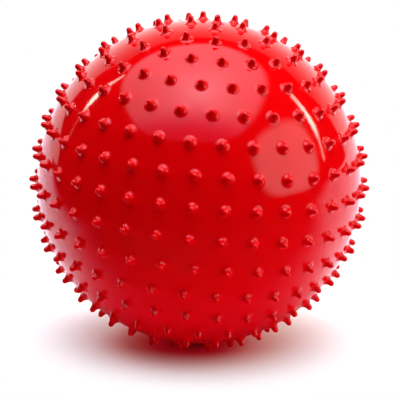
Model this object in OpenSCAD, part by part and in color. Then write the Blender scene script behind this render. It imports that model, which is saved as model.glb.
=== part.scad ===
// Sensory ball: an air-filled ball of soft vinyl, with rows of blunt spikes moulded on its skin.
// The upper pole carries a spike. The lower pole holds the valve, a bonded seat and a push-in plug,
// and the ball stands on the spikes round it.
// The origin is the ball's centre, and +Z is the axis that the rows go round. Sizes are in millimetres.

/* [Skin] */
// Diameter of the skin between the spikes
body_d = 190; // [150:1:260]
// Thickness of the skin
skin_t = 2; // [1.6:0.1:4]

/* [Spikes] */
// Height of a spike above the skin
spike_h = 5; // [4:0.1:8]
// Diameter at which a spike's straight side would reach the skin
spike_d = 5.8; // [4.5:0.1:7]
// Radius of a spike's rounded tip
tip_r = 1.4; // [0.8:0.1:1.6]
// Radius of the hollow flare round a spike's foot
flare_r = 2.2; // [1:0.1:3]
// Angle at which the flare runs out on the skin
flare_end = 15; // [10:1:30]

/* [Rows] */
// Rows of spikes on each half of the ball
rows = 8; // [5:1:8]
// Angle between neighbouring rows, seen from the ball's centre
row_step = 10.75; // [9.5:0.05:11]
// Spikes in the row next to the parting line, where the two halves of the mould met
widest_row = 33; // [31:1:36]
// Direction of the first spike in the row next to the parting line
first_angle = 39.5; // [0:0.5:359]
// Turn from the first spike of one row to that of the next
row_turn = -11.1; // [-20:0.1:20]
// Further turn from row to row, as a share of the row's own spacing
row_lag = 0.32; // [0:0.01:1]
// Turn of the lower half's pattern about the axis
half_turn = 90; // [0:1:359]

/* [Valve seat] */
// Diameter of the seat where it shows in the skin
seat_d = 16; // [14:0.5:18]
// Length of the seat along its bore
seat_l = 11; // [8:0.5:16]
// Diameter of the flange that is bonded to the inside of the skin
flange_d = 26; // [20:1:40]
// Thickness of the flange
flange_t = 1.6; // [1:0.1:3]
// Diameter of the bore at its mouth
bore_d = 6; // [4:0.5:8]
// Slope of the bore's wall against its axis, which the plug's stem shares
bore_slope = 2; // [1:0.5:4]
// Depth of the recess that the plug's head sits in
recess_h = 1.2; // [0.6:0.1:1.8]

/* [Valve plug] */
// Diameter of the plug's head
head_d = 11; // [9.5:0.5:12]
// Thickness of the plug's head
head_t = 2; // [1.5:0.1:3]
// Rounding of the head's rim
rim_r = 0.6; // [0.3:0.1:0.7]
// Length of the stem below the head
stem_l = 14; // [9:0.5:20]
// Width of the bevel round the stem's end
nose_c = 0.8; // [0.3:0.1:1.2]

/* [Fits] */
// Clearance between the stem and the bore
stem_gap = 0.05; // [0.02:0.01:0.1]
// Clearance between the head's rim and the recess
head_gap = 0.3; // [0.2:0.05:0.6]
// Bond line between the seat and the skin
bond_gap = 0.05; // [0.02:0.01:0.2]

/* [Hidden] */
// Sides of every circle and turned shape
$fn = 48;

// Radius of the skin's outside and inside
body_r = body_d / 2;
inner_r = body_r - skin_t;

// Spike, drawn with its axis on +Z. The root of the spike lies in the middle of the skin.
root_z = body_r - skin_t / 2;
tip_z = body_r + spike_h - tip_r;
tip_centre = [0, tip_z];
// Slope of the straight side, which touches the round tip and aims at spike_d on the skin
side_run = [spike_d / 2, spike_h - tip_r];
side_slope = acos(tip_r / norm(side_run)) - atan2(side_run.y, side_run.x);
side_normal = [cos(side_slope), sin(side_slope)];
side_up = [-side_normal.y, side_normal.x];
// Centre of the flare, which touches the side and dips into the skin at the angle flare_end
flare_off = tip_r + flare_r + tip_z * side_normal.y;
flare_far = body_r + flare_r * cos(flare_end);
flare_centre = flare_off * side_normal + sqrt(pow(flare_far, 2) - pow(flare_off, 2)) * side_up;

// Seat and plug, drawn with the valve's axis on +Z and then turned to the lower pole.
// The seat's face is flat and level with the rim of the hole in the skin.
hole_r = seat_d / 2;
face_z = sqrt(pow(body_r, 2) - pow(hole_r, 2));
floor_z = face_z - recess_h;
flange_r = inner_r - bond_gap;
recess_r = head_d / 2 + head_gap;
rim_centre = [head_d / 2 - rim_r, head_t - rim_r];

// Radius of the bore at a depth below the recess
function bore_r(depth) = bore_d / 2 - depth * tan(bore_slope);
// Radius of the plug's stem at a depth below the head
function stem_r(depth) = bore_r(depth) - stem_gap;

// Latitude of a row, counted from the parting line to the pole
function row_lat(row) = (row + 0.5) * row_step;
// Each row has one spike fewer than the last, then two fewer, then three
function row_count(row) = widest_row - row * (row + 1) / 2;
function row_spacing(row) = 360 / row_count(row);
// Direction of a row's first spike
function row_first(row) = first_angle + row * (row_turn + row_lag * row_spacing(row));

// A sphere whose own poles lie on the parting line, clear of the spikes
module ball(r) {
    rotate([90, 0, 0])
        sphere(r);
}

// One spike at the upper pole: a blunt cone with a round tip and a flare at its foot
module spike() {
    rotate_extrude()
        difference() {
            union() {
                polygon([
                    [0, root_z],
                    [flare_centre.x, root_z],
                    flare_centre,
                    flare_centre - flare_r * side_normal,
                    tip_centre + tip_r * side_normal,
                    tip_centre
                ]);
                intersection() {
                    translate(tip_centre)
                        circle(tip_r);
                    translate([0, root_z])
                        square([spike_d, spike_h + skin_t]);
                }
            }
            translate(flare_centre)
                circle(flare_r);
        }
}

// The rows of spikes from the parting line to the upper pole
module half_pattern() {
    for (row = [0 : rows - 1])
        for (place = [0 : row_count(row) - 1])
            rotate([0, 90 - row_lat(row), row_first(row) + place * row_spacing(row)])
                spike();
}

// Turns a shape on the upper pole to the lower pole
module at_lower_pole() {
    rotate([180, 0, 0])
        children();
}

// The hollow skin with its spikes. Both halves carry one pattern, the lower one turned over.
module skin() {
    color([0.78, 0.02, 0.04]) {
        difference() {
            ball(body_r);
            ball(inner_r);
            at_lower_pole()
                cylinder(h = body_d, r = hole_r);
        }
        spike();
        half_pattern();
        rotate([180, 0, half_turn])
            half_pattern();
    }
}

// The seat: a thick tube through the skin, with a flange that follows the skin's inside
module valve_seat() {
    color([0.62, 0.02, 0.04])
        at_lower_pole()
            rotate_extrude()
                difference() {
                    union() {
                        translate([0, face_z - seat_l])
                            square([hole_r - bond_gap, seat_l]);
                        intersection() {
                            difference() {
                                circle(flange_r);
                                circle(flange_r - flange_t);
                            }
                            square([flange_d / 2, body_r]);
                        }
                    }
                    translate([0, floor_z])
                        square([recess_r, body_r]);
                    polygon([
                        [0, floor_z],
                        [bore_r(0), floor_z],
                        [bore_r(seat_l), floor_z - seat_l],
                        [0, floor_z - seat_l]
                    ]);
                }
}

// The plug: a flat head with a rounded rim on a tapered stem
module valve_plug() {
    color([0.95, 0.94, 0.9])
        at_lower_pole()
            translate([0, 0, floor_z]) {
                rotate_extrude() {
                    square([rim_centre.x, head_t]);
                    square([head_d / 2, rim_centre.y]);
                    translate(rim_centre)
                        circle(rim_r);
                }
                rotate_extrude()
                    polygon([
                        [0, head_t / 2],
                        [stem_r(-head_t / 2), head_t / 2],
                        [stem_r(stem_l - nose_c), nose_c - stem_l],
                        [stem_r(stem_l) - nose_c, -stem_l],
                        [0, -stem_l]
                    ]);
            }
}

skin();
valve_seat();
valve_plug();
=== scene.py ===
"""Looks of the sensory ball: a glossy red skin with rows of spikes, its valve, and the light of a studio."""
import math
from collections import namedtuple

import bmesh
import bpy
from mathutils import Matrix, Vector


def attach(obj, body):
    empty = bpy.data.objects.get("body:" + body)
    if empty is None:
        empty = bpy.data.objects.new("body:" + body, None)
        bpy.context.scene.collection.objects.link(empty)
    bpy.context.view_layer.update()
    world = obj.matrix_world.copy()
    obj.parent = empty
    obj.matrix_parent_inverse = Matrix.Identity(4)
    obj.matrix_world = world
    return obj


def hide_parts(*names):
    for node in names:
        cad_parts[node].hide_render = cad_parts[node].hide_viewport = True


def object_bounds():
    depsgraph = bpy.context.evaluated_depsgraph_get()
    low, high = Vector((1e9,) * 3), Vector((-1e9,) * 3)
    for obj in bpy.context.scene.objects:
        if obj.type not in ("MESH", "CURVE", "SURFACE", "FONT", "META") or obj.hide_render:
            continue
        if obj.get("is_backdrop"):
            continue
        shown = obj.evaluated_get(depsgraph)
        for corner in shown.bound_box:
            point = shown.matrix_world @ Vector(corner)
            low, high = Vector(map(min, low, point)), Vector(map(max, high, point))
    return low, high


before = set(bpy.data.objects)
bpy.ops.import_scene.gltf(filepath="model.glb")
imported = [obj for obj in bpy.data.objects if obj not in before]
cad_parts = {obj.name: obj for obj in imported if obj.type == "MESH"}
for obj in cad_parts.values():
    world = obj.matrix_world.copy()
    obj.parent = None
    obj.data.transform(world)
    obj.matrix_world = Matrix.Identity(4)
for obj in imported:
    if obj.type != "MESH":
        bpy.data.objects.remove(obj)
cad_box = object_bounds()

MM = 0.001
# Axes of the frame. The camera stands in front, on the side of -Y
RIGHT = Vector((1, 0, 0))
AHEAD = Vector((0, 1, 0))
UP = Vector((0, 0, 1))
WHITE = (1, 1, 1)

# Skin and height of the spikes, as in the solids
BODY_R = 95 * MM
SKIN_T = 2 * MM
INNER_R = BODY_R - SKIN_T
SPIKE_H = 5 * MM
# As in the photo, a spike has straighter sides, a rounder tip and a wider flare than in the solids.
# SPIKE_D is the diameter at which its straight side would reach the skin
SPIKE_D = 4.7 * MM
TIP_R = 1.6 * MM
FLARE_R = 3.0 * MM

# Rows of spikes, as in the solids, with angles in degrees
ROWS = 8
ROW_STEP = 10.75
WIDEST_ROW = 33
FIRST_ANGLE = 39.5
ROW_TURN = -11.1
ROW_LAG = 0.32
HALF_TURN = 90

# Valve, as in the solids
HOLE_R = 8 * MM
BOND_GAP = 0.05 * MM
SEAT_R = HOLE_R - BOND_GAP
SEAT_L = 11 * MM
FLANGE_R = 13 * MM
FLANGE_T = 1.6 * MM
FLANGE_OUT = INNER_R - BOND_GAP
BORE_R = 3 * MM
BORE_SLOPE = math.radians(2)
HEAD_R = 5.5 * MM
HEAD_T = 2 * MM
HEAD_GAP = 0.3 * MM
RIM_R = 0.6 * MM
STEM_L = 14 * MM
STEM_GAP = 0.05 * MM
NOSE_C = 0.8 * MM
RECESS_H = 1.2 * MM
RECESS_R = HEAD_R + HEAD_GAP
FACE_Z = math.sqrt(BODY_R ** 2 - HOLE_R ** 2)
RECESS_Z = FACE_Z - RECESS_H
TO_LOWER_POLE = Matrix.Rotation(math.pi, 3, "X")

# Rounded edges, and the moulding dimple in the plug's face
HOLE_EDGE = 0.3 * MM
HOLE_LIP = 1.2 * MM
SEAT_EDGE = 0.25 * MM
PLUG_EDGE = 0.15 * MM
DIMPLE_R = 1.2 * MM
DIMPLE_H = 0.25 * MM

# Fineness of the meshes
SPIKE_SIDES = 24
TIP_STEPS = 4
FLARE_STEPS = 6
LATHE_SIDES = 96
EDGE_STEPS = 3
INNER_STEPS = 40
# Ring of points round a spike's foot, as a share of the foot's angle
APRON = 1.25
# Spacing of the points on the skin between the spikes, and their least distance from the rings and the hole
FILL_STEP = 2.6 * MM
APRON_GAP = 0.5 * FILL_STEP
HOLE_GAP = 0.7 * FILL_STEP
# Area for each point of a grid of equal triangles, as a share of a square's
TRIANGLE_SHARE = math.sqrt(0.75)
# Bands of one row's height that are searched for spikes on each side of a point
NEAR_BANDS = 2

# Camera: width of the photograph, the skin's radius and the ball's centre in it, and the viewing angle
FRAME_PX = 400
BODY_PX = 162
CENTRE_PX = (199.2, 181.5)
DISTANCE = 13.9 * BODY_R
ELEVATION = math.radians(14.5)
ROLL = math.radians(6.5)
SENSOR = 36.0
CLIP_END = 100

# Fields of light: the azimuth and height they face, shift of the centre to the side and up, half width and
# half height, as shares of the distance. The softness of an edge is a share of the field's size
Field = namedtuple("Field", "azimuth height aside above half_width half_height")
LAMP = Field(-90, 90, -0.29, -0.18, 0.88, 0.94)
LAMP_SOFT = 0.075
LAMP_LEVEL = 1.8
HEART = Field(-90, 90, -0.08, -0.17, 0.35, 0.35)
HEART_LEVEL = 6.8
BOX = Field(-19.5, 24.5, 0, 0, 0.47, 0.37)
BOX_SOFT = 0.17
BOX_LEVEL = 2.9
# Corners of the fields: 2 gives an oval, more a squarer box
CORNER_POWER = 3
# The lamp fades towards the front: the slopes between which it does so, its share of light at each, and its
# tints before and after
LAMP_FADE = (-0.3, -0.98, 1.0, 0.26)
LAMP_TINT = (1.0, 0.97, 1.13)
LAMP_LOW_TINT = (1.0, 0.3, 1.15)

# Strips: lower and upper end as azimuth and height, share of the length at which they are brightest,
# half widths and levels at the lower end, there and at the upper end
STRIPS = (
    ((14, 13), (28.5, 44), 0.58, (0.016, 0.036, 0.034), (8, 27, 11)),
    ((155.5, 5), (148, 40), 0.58, (0.007, 0.034, 0.02), (2, 22, 10)),
)
STRIP_TINT = (1.0, 0.92, 0.77)
# Share of the way to the brightest place at which a strip starts to brighten
STRIP_RISE = 0.4
# Softness of a strip's sides and ends, and the range that keeps it to its own side of the room
STRIP_EDGE = 0.004
STRIP_END = 0.02
STRIP_FACING = (0.0, 0.2)

# Backdrop: its reach to the left, right and up as shares of its distance, and its levels at the top and foot
SHEET_LEFT = 0.9
SHEET_RIGHT = 1.1
SHEET_TOP = 0.95
SHEET_LEVELS = (0.36, 1.3)
# Between these heights it comes to reach further to the left
SPREAD_FROM = (0.2, -0.15)
SHEET_SPREAD = 0.85
# Softness of its sides and top, and the range that keeps it behind the ball
SHEET_EDGE = 0.03
SHEET_TOP_EDGE = 0.05
SHEET_FACING = (0.01, 0.05)
ROOM_LEVEL = 0.01
# Least divisor of a slope
LEAST_DEPTH = 0.001

# Floor: half its width, and its paint in reflected light, to the camera, and the painted shade where it is
# dark
FLOOR_HALF = 3.0
FLOOR_COLOUR = (0.85, 0.85, 0.85)
FLOOR_SEEN = (0.9, 0.965, 0.885)
FLOOR_DARK = (0.005, 0.005, 0.005)
# Ranges over which the mirrored floor goes from painted dark to pale, by way of a painted tint, the
# fading colour below: ahead, along LEFT_LINE, and as the slope of a line from RIGHT_START in front of the
# ball's axis, for which no point counts as less than LEAST_RIGHT to the right
FLOOR_FADE = (-0.13, 0.03)
FLOOR_LEFT = (-0.3, -0.13)
LEFT_LINE = (0.657, 0.753, 0)
FLOOR_RIGHT = (0.1, 0.45)
RIGHT_START = 0.25
LEAST_RIGHT = 0.01
# Painted tint, seen only in the ball's reflections, where the mirrored floor fades to dark
PAINTED_FADING_TINT = (0.95, 0.01, 0.3)
# Ranges over which the floor goes from dark to pale for all rays but the camera's: ahead and along LEFT_LINE
FLOOR_EDGE = (-0.42, -0.2)
LEFT_EDGE = (-0.49, -0.17)
# Middle of the floor's painted red light and shade, to the right of the contact, from which the next
# distances count
RED_ASIDE = -0.005
# Painted shade and red light of the mirrored floor near the ball, seen only in the ball's reflections
PAINTED_MIRRORED_SHADE_AND_RED = (0.5, 0.03, 0.06)
MIRRORED_REACH = (0.035, 0.145)
# Painted shade and red light under the ball: a dark red paint and a glow that the floor gives off, which
# stand in for the shadow and the light that comes through the thin skin. GLOW_CORE holds the distances
# between which the glow gains strength, and its share at each
PAINTED_UNDER_SHADE_AND_RED = (0.42, 0.01, 0.02)
UNDER_REACH = (0.018, 0.06)
GLOW_COLOUR = (1, 0.01, 0.03)
GLOW_LEVEL = 0.16
GLOW_REACH = (0.02, 0.08)
GLOW_CORE = (0.004, 0.022, 0.25, 1.0)
# Distances from a point behind the contact between which the floor runs out to pure white in the picture
WHITE_BACK = 0.048
WHITE_REACH = (0.065, 0.16)

# Plastics: two near colours, least and most roughness, refractive index, patches and waves to the metre,
# and depth of the waves
VINYL = dict(
    colours=((0.63, 0.0002, 0.0014), (0.60, 0.0001, 0.0012)),
    rough=(0.05, 0.09), ior=1.335, patch=14, grain=60, relief=0.055 * MM,
)
SEAT_VINYL = dict(
    colours=((0.42, 0.003, 0.006), (0.38, 0.002, 0.005)),
    rough=(0.3, 0.4), ior=1.5, patch=200, grain=900, relief=0.01 * MM,
)
PLUG_PLASTIC = dict(
    colours=((0.86, 0.85, 0.8), (0.82, 0.81, 0.75)),
    rough=(0.3, 0.42), ior=1.5, patch=150, grain=2500, relief=0.01 * MM,
)
NOISE_DETAIL = 2
# Range of the noise over which the roughness changes
ROUGH_RANGE = (0.3, 0.7)


# The pattern of the rows
def row_count(row):
    """Each row has one spike fewer than the last, then two fewer, then three."""
    return WIDEST_ROW - row * (row + 1) // 2


def half_pattern():
    """Turns from the upper pole to each spike between the parting line and that pole."""
    for row in range(ROWS):
        spacing = 360 / row_count(row)
        first = FIRST_ANGLE + row * (ROW_TURN + ROW_LAG * spacing)
        tilt = Matrix.Rotation(math.radians(90 - (row + 0.5) * ROW_STEP), 3, "Y")
        for place in range(row_count(row)):
            yield Matrix.Rotation(math.radians(first + place * spacing), 3, "Z") @ tilt


def spike_turns():
    """Turns from the upper pole to every spike: the one on the pole, the upper half and the lower half."""
    turned_over = Matrix.Rotation(math.radians(HALF_TURN), 3, "Z") @ TO_LOWER_POLE
    upper = list(half_pattern())
    return [Matrix.Identity(3)] + upper + [turned_over @ turn for turn in upper]


# Half sections: lists of (radius, height, outward normal)
def arc(centre, radius, start, end, steps, hollow=False):
    """Points on an arc between two angles from the outward direction, in degrees."""
    reach = -radius if hollow else radius
    points = []
    for i in range(steps + 1):
        angle = math.radians(start + (end - start) * i / steps)
        normal = (math.cos(angle), math.sin(angle))
        points.append((centre[0] + reach * normal[0], centre[1] + reach * normal[1], normal))
    return points


def spike_section():
    """Half section of a spike on +Z, from below its tip to where its flare runs out on the skin."""
    tip = (0, BODY_R + SPIKE_H - TIP_R)
    run = (SPIKE_D / 2, SPIKE_H - TIP_R)
    slope = math.acos(TIP_R / math.hypot(*run)) - math.atan2(run[1], run[0])
    across, along = math.cos(slope), math.sin(slope)
    off = TIP_R + FLARE_R + tip[1] * along
    up = math.sqrt((BODY_R + FLARE_R) ** 2 - off ** 2)
    flare = (off * across - up * along, off * along + up * across)
    side = math.degrees(slope)
    foot = math.degrees(math.atan2(flare[1], flare[0]))
    tip_arc = arc(tip, TIP_R, 90, side, TIP_STEPS)[1:]
    return tip_arc + arc(flare, FLARE_R, side, foot, FLARE_STEPS, hollow=True)


def rounded(corners, closed=False):
    """Outline through (radius, height, rounding) corners, with the material on its left-hand side."""
    points = []
    for i, (radius, height, rounding) in enumerate(corners):
        runs = []
        for start, end in ((i - 1, i), (i, i + 1)):
            if closed or (start >= 0 and end < len(corners)):
                run = Vector(corners[end % len(corners)][:2]) - Vector(corners[start][:2])
                runs.append(run.normalized())
        outward = Vector((runs[0].y, -runs[0].x))
        if len(runs) < 2:
            points.append((radius, height, tuple(outward)))
            continue
        turn = math.atan2(runs[0].cross(runs[1]), runs[0].dot(runs[1]))
        bulge = math.copysign(rounding, turn)
        bend = Vector((radius, height)) - runs[0] * rounding * math.tan(abs(turn) / 2)
        centre = bend - bulge * outward
        for step in range(EDGE_STEPS + 1):
            normal = Matrix.Rotation(turn * step / EDGE_STEPS, 2) @ outward
            points.append((*(centre + bulge * normal), tuple(normal)))
    return points


# Meshes
def add_object(name, data):
    made = bpy.data.objects.new(name, data)
    bpy.context.scene.collection.objects.link(made)
    return made


class Shape:
    """Vertices with their normals, and faces, for one mesh."""

    def __init__(self):
        self.places, self.normals, self.faces = [], [], []

    def vertex(self, place, normal):
        self.places.append(Vector(place))
        self.normals.append(Vector(normal).normalized())
        return len(self.places) - 1

    def ring(self, radius, height, normal, sides, turn, shift=0.0):
        """A ring of vertices round the axis of turn, with a normal of (outward, upward) parts."""
        ring = []
        for i in range(sides):
            angle = 2 * math.pi * (i + shift) / sides
            x, y = math.cos(angle), math.sin(angle)
            place = turn @ Vector((radius * x, radius * y, height))
            ring.append(self.vertex(place, turn @ Vector((normal[0] * x, normal[0] * y, normal[1]))))
        return ring

    def bridge(self, upper, lower):
        for i in range(len(upper)):
            j = (i + 1) % len(upper)
            self.faces.append((upper[i], lower[i], lower[j], upper[j]))

    def cap(self, tip, ring):
        for i in range(len(ring)):
            self.faces.append((tip, ring[i], ring[(i + 1) % len(ring)]))

    def lathe(self, section, turn, closed=False):
        """Turns an outline with the material on its left-hand side. Points on the axis become one vertex."""
        rings = []
        for radius, height, normal in section:
            if radius > 0:
                rings.append(self.ring(radius, height, normal, LATHE_SIDES, turn))
            else:
                rings.append([self.vertex(turn @ (height * UP), turn @ (normal[1] * UP))])
        following = rings[1:] + rings[:1] if closed else rings[1:]
        for here, after in zip(rings, following):
            if len(after) == 1:
                self.cap(after[0], here)
            elif len(here) == 1:
                self.cap(here[0], after[::-1])
            else:
                self.bridge(after, here)
        return rings

    def object(self, name, material):
        mesh = bpy.data.meshes.new(name)
        mesh.from_pydata(self.places, [], self.faces)
        mesh.polygons.foreach_set("use_smooth", [True] * len(self.faces))
        mesh.normals_split_custom_set_from_vertices(self.normals)
        mesh.materials.append(material)
        return add_object(name, mesh)


# Skin
def row_band(height):
    """Number of the band of one row's height that a direction lies in."""
    return round(math.degrees(math.asin(height)) / ROW_STEP)


def fill_directions(axes, foot_angle):
    """Evenly spread directions on the skin, clear of the spikes and of the valve's hole."""
    count = int(4 * math.pi * (BODY_R / FILL_STEP) ** 2 / TRIANGLE_SHARE)
    golden_turn = math.pi * (3 - math.sqrt(5))
    clear = math.cos(foot_angle * APRON + APRON_GAP / BODY_R)
    hole_clear = -math.cos((HOLE_R + HOLE_GAP) / BODY_R)
    bands = {}
    for axis in axes:
        bands.setdefault(row_band(axis.z), []).append(axis)
    for i in range(count):
        height = 1 - 2 * (i + 0.5) / count
        radius = math.sqrt(1 - height * height)
        spot = Vector((radius * math.cos(i * golden_turn), radius * math.sin(i * golden_turn), height))
        middle = row_band(height)
        searched = range(middle - NEAR_BANDS, middle + NEAR_BANDS + 1)
        near = [axis for band in searched for axis in bands.get(band, ())]
        if height > hole_clear and all(spot.dot(axis) < clear for axis in near):
            yield spot


def ball_faces(places):
    """Triangles between points on a ball, as their hull gives them."""
    hull = bmesh.new()
    for place in places:
        hull.verts.new(place)
    bmesh.ops.convex_hull(hull, input=hull.verts)
    bmesh.ops.recalc_face_normals(hull, faces=hull.faces)
    hull.verts.index_update()
    faces = [tuple(vertex.index for vertex in face.verts) for face in hull.faces]
    hull.free()
    return faces


def hole_section():
    """The skin round the valve's hole and its inside, from the outer face to the upper pole."""
    reach = HOLE_R + HOLE_LIP
    section = rounded([
        (reach, math.sqrt(BODY_R ** 2 - reach ** 2), 0),
        (HOLE_R, FACE_Z, HOLE_EDGE),
        (HOLE_R, math.sqrt(INNER_R ** 2 - HOLE_R ** 2), HOLE_EDGE),
        (reach, math.sqrt(INNER_R ** 2 - reach ** 2), 0),
    ])
    start = math.asin(reach / INNER_R)
    for i in range(1, INNER_STEPS + 1):
        angle = start + (math.pi - start) * i / INNER_STEPS
        outward, upward = math.sin(angle), math.cos(angle)
        radius = 0 if i == INNER_STEPS else INNER_R * outward
        section.append((radius, INNER_R * upward, (-outward, -upward)))
    return section


def add_spike(shape, section, apron, turn):
    """One spike, with a ring of loose points on the skin round its foot. Gives the foot and that ring."""
    tip = shape.vertex(turn @ ((BODY_R + SPIKE_H) * UP), turn @ UP)
    rings = [shape.ring(*point, SPIKE_SIDES, turn) for point in section]
    shape.cap(tip, rings[0])
    for upper, lower in zip(rings, rings[1:]):
        shape.bridge(upper, lower)
    loose = shape.ring(BODY_R * apron[0], BODY_R * apron[1], apron, SPIKE_SIDES, turn, shift=0.5)
    return rings[-1], loose


def make_skin(material):
    """Outer skin with its spikes, the wall of the valve's hole and the inside, as one closed mesh."""
    shape = Shape()
    turns = spike_turns()
    section = spike_section()
    foot_angle = math.atan2(section[-1][0], section[-1][1])
    apron = (math.sin(foot_angle * APRON), math.cos(foot_angle * APRON))
    on_ball, owner = [], {}
    for place, turn in enumerate(turns):
        foot, loose = add_spike(shape, section, apron, turn)
        owner.update((vertex, place) for vertex in foot)
        on_ball += foot + loose
    rim = shape.lathe(hole_section(), TO_LOWER_POLE)[0]
    owner.update((vertex, "hole") for vertex in rim)
    on_ball += rim
    for spot in fill_directions([turn @ UP for turn in turns], foot_angle):
        on_ball.append(shape.vertex(spot * BODY_R, spot))
    # The hull also closes each foot and the hole, and those faces are left out
    for face in ball_faces([shape.places[vertex] for vertex in on_ball]):
        corners = tuple(on_ball[i] for i in face)
        owners = {owner.get(vertex) for vertex in corners}
        if len(owners) > 1 or None in owners:
            shape.faces.append(corners)
    return shape.object("ball_skin", material)


# Valve
def bore_r(depth):
    """Radius of the tapered bore at a depth below the recess."""
    return BORE_R - depth * math.tan(BORE_SLOPE)


def make_seat(material):
    """The tube of the seat with its recess and tapered bore, and the flange on the skin's inside."""
    def on_flange(radius, ball_r):
        return radius, math.sqrt(ball_r ** 2 - radius ** 2), SEAT_EDGE

    bottom = FACE_Z - SEAT_L
    section = rounded([
        (bore_r(SEAT_L - RECESS_H), bottom, SEAT_EDGE),
        (SEAT_R, bottom, SEAT_EDGE),
        on_flange(SEAT_R, FLANGE_OUT - FLANGE_T),
        on_flange(FLANGE_R, FLANGE_OUT - FLANGE_T),
        on_flange(FLANGE_R, FLANGE_OUT),
        on_flange(SEAT_R, FLANGE_OUT),
        (SEAT_R, FACE_Z, SEAT_EDGE),
        (RECESS_R, FACE_Z, SEAT_EDGE),
        (RECESS_R, RECESS_Z, SEAT_EDGE),
        (BORE_R, RECESS_Z, SEAT_EDGE),
    ], closed=True)
    shape = Shape()
    shape.lathe(section, TO_LOWER_POLE, closed=True)
    return shape.object("ball_valve_seat", material)


def make_plug(material):
    """The plug's head, with a moulding dimple in its face, on its tapered stem."""
    end = RECESS_Z - STEM_L
    top = RECESS_Z + HEAD_T
    section = rounded([
        (0, end, 0),
        (bore_r(STEM_L) - STEM_GAP - NOSE_C, end, PLUG_EDGE),
        (bore_r(STEM_L - NOSE_C) - STEM_GAP, end + NOSE_C, PLUG_EDGE),
        (BORE_R - STEM_GAP, RECESS_Z, PLUG_EDGE),
        (HEAD_R, RECESS_Z, PLUG_EDGE),
        (HEAD_R, top, RIM_R),
        (DIMPLE_R, top, PLUG_EDGE),
        (DIMPLE_R - DIMPLE_H, top - DIMPLE_H, PLUG_EDGE),
        (0, top - DIMPLE_H, 0),
    ])
    shape = Shape()
    shape.lathe(section, TO_LOWER_POLE)
    return shape.object("ball_valve_plug", material)


# Materials
class Nodes:
    """Short ways to add nodes to a tree and to link them."""

    def __init__(self, tree):
        self.tree = tree

    def add(self, kind, **settings):
        node = self.tree.nodes.new(kind)
        for name, value in settings.items():
            setattr(node, name, value)
        return node

    def put(self, socket, value):
        """Links an output to a socket, or sets the socket to a plain value."""
        if isinstance(value, bpy.types.NodeSocket):
            self.tree.links.new(value, socket)
        else:
            socket.default_value = value

    def fill(self, node, *values):
        """Puts values into a node's inputs, from the first on."""
        for socket, value in zip(node.inputs, values):
            self.put(socket, value)
        return node

    def math(self, operation, *values):
        return self.fill(self.add("ShaderNodeMath", operation=operation), *values).outputs[0]

    def chain(self, operation, first, *others):
        """One operation over any number of values, from the first to the last."""
        for other in others:
            first = self.math(operation, first, other)
        return first

    def vector(self, operation, *values):
        return self.fill(self.add("ShaderNodeVectorMath", operation=operation), *values).outputs

    def dot(self, first, second):
        return self.vector("DOT_PRODUCT", first, second)["Value"]

    def tint(self, value, colour):
        """A colour times a value."""
        node = self.fill(self.add("ShaderNodeVectorMath", operation="SCALE"), colour)
        self.put(node.inputs["Scale"], value)
        return node.outputs["Vector"]

    def step(self, value, low, high, low_out=0.0, high_out=1.0):
        """A smooth change between two outputs as a value goes from low to high."""
        node = self.add("ShaderNodeMapRange", interpolation_type="SMOOTHSTEP")
        return self.fill(node, value, low, high, low_out, high_out).outputs[0]

    def noise(self, scale):
        node = self.add("ShaderNodeTexNoise")
        self.put(node.inputs["Vector"], self.add("ShaderNodeTexCoord").outputs["Object"])
        self.put(node.inputs["Scale"], scale)
        self.put(node.inputs["Detail"], NOISE_DETAIL)
        return node.outputs["Fac"]

    def put_colour(self, socket, colour):
        self.put(socket, colour if isinstance(colour, bpy.types.NodeSocket) else (*colour, 1))

    def mix(self, factor, first, second):
        """The first colour at a factor of 0, and the second at 1."""
        node = self.add("ShaderNodeMix", data_type="RGBA")
        self.put(node.inputs["Factor"], factor)
        self.put_colour(node.inputs["A"], first)
        self.put_colour(node.inputs["B"], second)
        return node.outputs["Result"]


def new_material(name):
    material = bpy.data.materials.new(name)
    material.use_nodes = True
    return material


def moulded_plastic(name, colours, rough, ior, patch, grain, relief):
    """A plastic of two near colours in soft patches, with uneven gloss and a fine relief."""
    material = new_material(name)
    nodes = Nodes(material.node_tree)
    wave = nodes.noise(grain)
    bump = nodes.add("ShaderNodeBump")
    nodes.put(bump.inputs["Distance"], relief)
    nodes.put(bump.inputs["Strength"], 1)
    nodes.put(bump.inputs["Height"], wave)
    shader = material.node_tree.nodes["Principled BSDF"]
    nodes.put(shader.inputs["Base Color"], nodes.mix(nodes.noise(patch), *colours))
    nodes.put(shader.inputs["Roughness"], nodes.step(wave, *ROUGH_RANGE, *rough))
    nodes.put(shader.inputs["Normal"], bump.outputs["Normal"])
    nodes.put(shader.inputs["IOR"], ior)
    return material


# Camera
def camera_axes():
    """Directions to the right, upwards and towards the camera in the photograph, which leans to one side."""
    toward = Vector((0, -math.cos(ELEVATION), math.sin(ELEVATION)))
    across = math.cos(ROLL) * RIGHT + math.sin(ROLL) * toward.cross(RIGHT)
    return across, toward.cross(across), toward


def add_camera():
    """Camera at the photograph's place: above the front."""
    across, upward, toward = camera_axes()
    pixel = BODY_R / BODY_PX
    middle = FRAME_PX / 2
    aim = (middle - CENTRE_PX[0]) * pixel * across + (CENTRE_PX[1] - middle) * pixel * upward
    place = toward * DISTANCE
    away = (place - aim).normalized()
    across = upward.cross(away).normalized()
    axes = Matrix((across, away.cross(across), away)).transposed()
    data = bpy.data.cameras.new("camera")
    data.sensor_width = SENSOR
    # The lens gives the skin's outline its radius in the photograph
    data.lens = SENSOR / FRAME_PX * BODY_PX * math.sqrt((DISTANCE / BODY_R) ** 2 - 1)
    data.clip_end = CLIP_END
    camera = add_object("camera", data)
    camera.matrix_world = Matrix.Translation(place) @ axes.to_4x4()
    bpy.context.scene.camera = camera


# Light
def direction(azimuth, height):
    """Direction from its azimuth, counted from +X towards +Y, and its height above the floor, in degrees."""
    turn, rise = math.radians(azimuth), math.radians(height)
    return Vector((math.cos(rise) * math.cos(turn), math.cos(rise) * math.sin(turn), math.sin(rise)))


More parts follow.
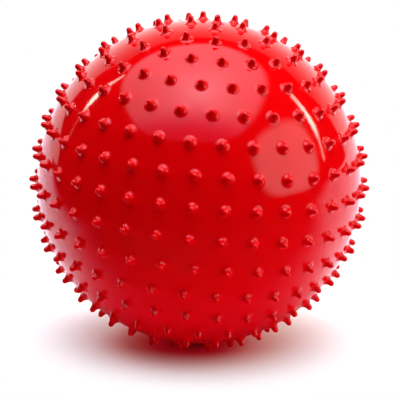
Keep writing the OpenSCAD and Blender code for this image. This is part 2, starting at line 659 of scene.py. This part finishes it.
class Sky(Nodes):
    """The lights of the studio, painted by the direction of a ray."""

    def __init__(self, tree):
        super().__init__(tree)
        self.ray = self.add("ShaderNodeTexCoord").outputs["Generated"]

    def slopes(self, depth_axis, *axes):
        """How far a ray goes along each axis for its way along the first one."""
        depth = self.math("MAXIMUM", self.dot(self.ray, depth_axis), LEAST_DEPTH)
        return [self.math("DIVIDE", self.dot(self.ray, axis), depth) for axis in axes]

    def distance(self, field):
        """How far a ray passes from the centre of a field, as a share of the field's size."""
        facing = direction(field.azimuth, field.height)
        side = direction(field.azimuth + 90, 0)
        over = facing.cross(side)
        width_axis = (side - field.aside * facing) / field.half_width
        height_axis = (over - field.above * facing) / field.half_height
        powers = []
        for slope in self.slopes(facing, width_axis, height_axis):
            powers.append(self.math("POWER", self.math("ABSOLUTE", slope), CORNER_POWER))
        return self.math("POWER", self.math("ADD", *powers), 1 / CORNER_POWER)

    def inside(self, field, soft):
        """1 inside a field and 0 outside it, with a soft edge."""
        return self.step(self.distance(field), 1 + soft, 1 - soft)

    def lamp(self):
        """The lamp overhead, brightest at its heart, which fades towards the front."""
        front = self.step(self.slopes(UP, AHEAD)[0], *LAMP_FADE)
        heart = self.math("EXPONENT", self.math("MULTIPLY", self.distance(HEART), -1.0))
        level = self.math("MULTIPLY_ADD", heart, HEART_LEVEL, LAMP_LEVEL)
        light = self.chain("MULTIPLY", self.inside(LAMP, LAMP_SOFT), front, level)
        return self.tint(light, self.mix(front, LAMP_LOW_TINT, LAMP_TINT))

    def along(self, place, middle, values):
        """A value that changes smoothly from one end of a strip over a middle place to the other end."""
        rise = self.step(place, STRIP_RISE * middle, middle, values[0], values[1])
        return self.math("ADD", rise, self.step(place, middle, 1, 0, values[2] - values[1]))

    def strip(self, low, high, middle, halves, levels):
        """A narrow light between two directions."""
        start, end = direction(*low), direction(*high)
        rise = self.math("SUBTRACT", self.dot(self.ray, UP), start.z)
        place = self.math("DIVIDE", rise, end.z - start.z)
        off = self.math("ABSOLUTE", self.dot(self.ray, start.cross(end).normalized()))
        beside = self.math("SUBTRACT", off, self.along(place, middle, halves))
        return self.chain(
            "MULTIPLY",
            self.step(beside, STRIP_EDGE, -STRIP_EDGE),
            self.step(place, -STRIP_END, STRIP_END),
            self.step(place, 1 + STRIP_END, 1 - STRIP_END),
            self.step(self.dot(self.ray, start), *STRIP_FACING),
            self.along(place, middle, levels),
        )

    def sheet(self):
        """The pale backdrop behind the ball, brightest at its foot."""
        aside, height = self.slopes(AHEAD, RIGHT, UP)
        spread = self.math("ADD", aside, self.step(height, *SPREAD_FROM, 0.0, SHEET_SPREAD))
        return self.chain(
            "MULTIPLY",
            self.step(spread, -SHEET_LEFT - SHEET_EDGE, -SHEET_LEFT + SHEET_EDGE),
            self.step(aside, SHEET_RIGHT + SHEET_EDGE, SHEET_RIGHT - SHEET_EDGE),
            self.step(height, SHEET_TOP, 0, *SHEET_LEVELS),
            self.step(height, SHEET_TOP + SHEET_TOP_EDGE, SHEET_TOP - SHEET_TOP_EDGE),
            self.step(self.dot(self.ray, AHEAD), *SHEET_FACING),
        )


def add_world():
    """A dark room with a lamp overhead, a soft box on the right, two strips and a pale backdrop."""
    world = bpy.data.worlds.new("studio")
    bpy.context.scene.world = world
    world.use_nodes = True
    sky = Sky(world.node_tree)
    strips = sky.chain("ADD", *(sky.strip(*strip) for strip in STRIPS))
    box = sky.math("MULTIPLY", sky.inside(BOX, BOX_SOFT), BOX_LEVEL)
    plain = sky.chain("ADD", box, sky.sheet(), ROOM_LEVEL)
    light = sky.lamp()
    for part in (sky.tint(strips, STRIP_TINT), sky.tint(plain, WHITE)):
        light = sky.vector("ADD", light, part)["Vector"]
    seen = sky.add("ShaderNodeLightPath").outputs["Is Camera Ray"]
    background = world.node_tree.nodes["Background"]
    sky.put(background.inputs["Color"], sky.mix(seen, light, WHITE))
    sky.put(background.inputs["Strength"], 1)


# Floor
class FloorNodes(Nodes):
    """Masks by the place on the floor and the kind of ray, and shaders."""

    def __init__(self, tree):
        super().__init__(tree)
        geometry = self.add("ShaderNodeNewGeometry")
        path = self.add("ShaderNodeLightPath")
        self.place = geometry.outputs["Position"]
        self.from_below = geometry.outputs["Backfacing"]
        self.seen = path.outputs["Is Camera Ray"]
        self.mirrored = path.outputs["Is Glossy Ray"]

    def away(self, point):
        """Distance from a point."""
        return self.vector("DISTANCE", self.place, point)["Value"]

    def below(self, value, limits):
        """1 where a value is below two limits, and 0 where it is above them."""
        return self.step(value, *limits, 1.0, 0.0)

    def diffuse(self, colour):
        node = self.add("ShaderNodeBsdfDiffuse")
        self.put_colour(node.inputs["Color"], colour)
        return node.outputs[0]

    def emission(self, colour, strength):
        node = self.add("ShaderNodeEmission")
        self.put_colour(node.inputs["Color"], colour)
        self.put(node.inputs["Strength"], strength)
        return node.outputs[0]

    def blend(self, factor, first, second):
        return self.fill(self.add("ShaderNodeMixShader"), factor, first, second).outputs[0]


def floor_masks(nodes):
    """Where the mirrored floor is dark, and where the floor is dark for all rays but the camera's."""
    ahead = nodes.dot(nodes.place, AHEAD)
    left = nodes.dot(nodes.place, LEFT_LINE)
    right = nodes.math("MAXIMUM", nodes.dot(nodes.place, RIGHT), LEAST_RIGHT)
    slant = nodes.math("DIVIDE", nodes.math("ADD", ahead, RIGHT_START), right)
    dim = nodes.chain(
        "MAXIMUM",
        nodes.below(ahead, FLOOR_FADE),
        nodes.below(left, FLOOR_LEFT),
        nodes.below(slant, FLOOR_RIGHT),
    )
    fading = nodes.math("MULTIPLY", dim, nodes.mirrored)
    edge = nodes.math("MAXIMUM", nodes.below(ahead, FLOOR_EDGE), nodes.below(left, LEFT_EDGE))
    unseen = nodes.math("SUBTRACT", 1.0, nodes.seen)
    return fading, nodes.math("MULTIPLY", nodes.math("MAXIMUM", fading, edge), unseen)


def floor_paint(nodes, away, fading):
    """White paint, with painted red light and shade under the ball and, in the ball's reflections, near it
    and where it fades.
    """
    colour = nodes.mix(nodes.seen, FLOOR_COLOUR, FLOOR_SEEN)
    # Painted shade and red light, seen only in the ball's reflections near it
    close = nodes.math("MULTIPLY", nodes.below(away, MIRRORED_REACH), nodes.mirrored)
    colour = nodes.mix(close, colour, PAINTED_MIRRORED_SHADE_AND_RED)
    # Painted tint, seen only in the ball's reflections where the mirrored floor fades
    colour = nodes.mix(fading, colour, PAINTED_FADING_TINT)
    # Painted shade and red light on the floor under the ball
    return nodes.diffuse(nodes.mix(nodes.below(away, UNDER_REACH), colour, PAINTED_UNDER_SHADE_AND_RED))


def painted_floor_glow(nodes, away):
    """Painted red light: a glow that the floor gives off under the ball, weaker in the middle."""
    near = nodes.math("MULTIPLY", nodes.below(away, GLOW_REACH), nodes.step(away, *GLOW_CORE))
    return nodes.emission(GLOW_COLOUR, nodes.math("MULTIPLY", near, GLOW_LEVEL))


def floor_white(contact, across, ahead):
    """The floor's material: lit paint, with painted shade and red light under the ball, that runs out to pure
    white in the picture, clear from below.
    """
    material = new_material("floor_white")
    tree = material.node_tree
    tree.nodes.remove(tree.nodes["Principled BSDF"])
    nodes = FloorNodes(tree)
    away = nodes.away(contact + RED_ASIDE * across)
    fading, dark = floor_masks(nodes)
    # Painted shade: nearly black paint where the masks make the floor dark for all rays but the camera's
    shade = nodes.blend(dark, floor_paint(nodes, away, fading), nodes.diffuse(FLOOR_DARK))
    # Painted red light: the floor's own glow under the ball
    lit = nodes.fill(nodes.add("ShaderNodeAddShader"), shade, painted_floor_glow(nodes, away)).outputs[0]
    outer = nodes.step(nodes.away(contact + WHITE_BACK * ahead), *WHITE_REACH)
    faded = nodes.blend(nodes.math("MULTIPLY", outer, nodes.seen), lit, nodes.emission(WHITE, 1))
    clear = nodes.add("ShaderNodeBsdfTransparent").outputs[0]
    nodes.put(tree.nodes["Material Output"].inputs["Surface"], nodes.blend(nodes.from_below, faded, clear))
    return material


def add_floor():
    """A white floor under the lowest spike, level in the photograph."""
    across, upward, toward = camera_axes()
    level = math.cos(ELEVATION) * upward + math.sin(ELEVATION) * toward
    ahead = level.cross(across)
    # The contact lies below the ball's centre, as low as the round tip of the lowest spike
    lowest = max(-level.dot(turn @ UP) for turn in spike_turns())
    contact = -level * (lowest * (BODY_R + SPIKE_H - TIP_R) + TIP_R)
    mesh = bpy.data.meshes.new("floor")
    corners = [(-1, -1), (1, -1), (1, 1), (-1, 1)]
    mesh.from_pydata([(x * FLOOR_HALF, y * FLOOR_HALF, 0) for x, y in corners], [], [(0, 1, 2, 3)])
    mesh.materials.append(floor_white(contact, across, ahead))
    floor = add_object("floor", mesh)
    axes = Matrix((across, ahead, level)).transposed()
    floor.matrix_world = Matrix.Translation(contact) @ axes.to_4x4()
    floor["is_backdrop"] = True


def dress(piece, body, node):
    """Puts a piece on its body, in a node's place, and hides that node's own part."""
    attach(piece, body)
    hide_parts(node)


bpy.context.scene.view_settings.view_transform = "Standard"
add_camera()
add_world()
add_floor()
dress(make_skin(moulded_plastic("red_vinyl", **VINYL)), "ball", "skin")
dress(make_seat(moulded_plastic("seat_vinyl", **SEAT_VINYL)), "ball", "valve_seat")
dress(make_plug(moulded_plastic("plug_plastic", **PLUG_PLASTIC)), "plug", "valve_plug")

boxes = {"cad": cad_box, "visual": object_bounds()}
{name: [list(corner) for corner in box] for name, box in boxes.items()}
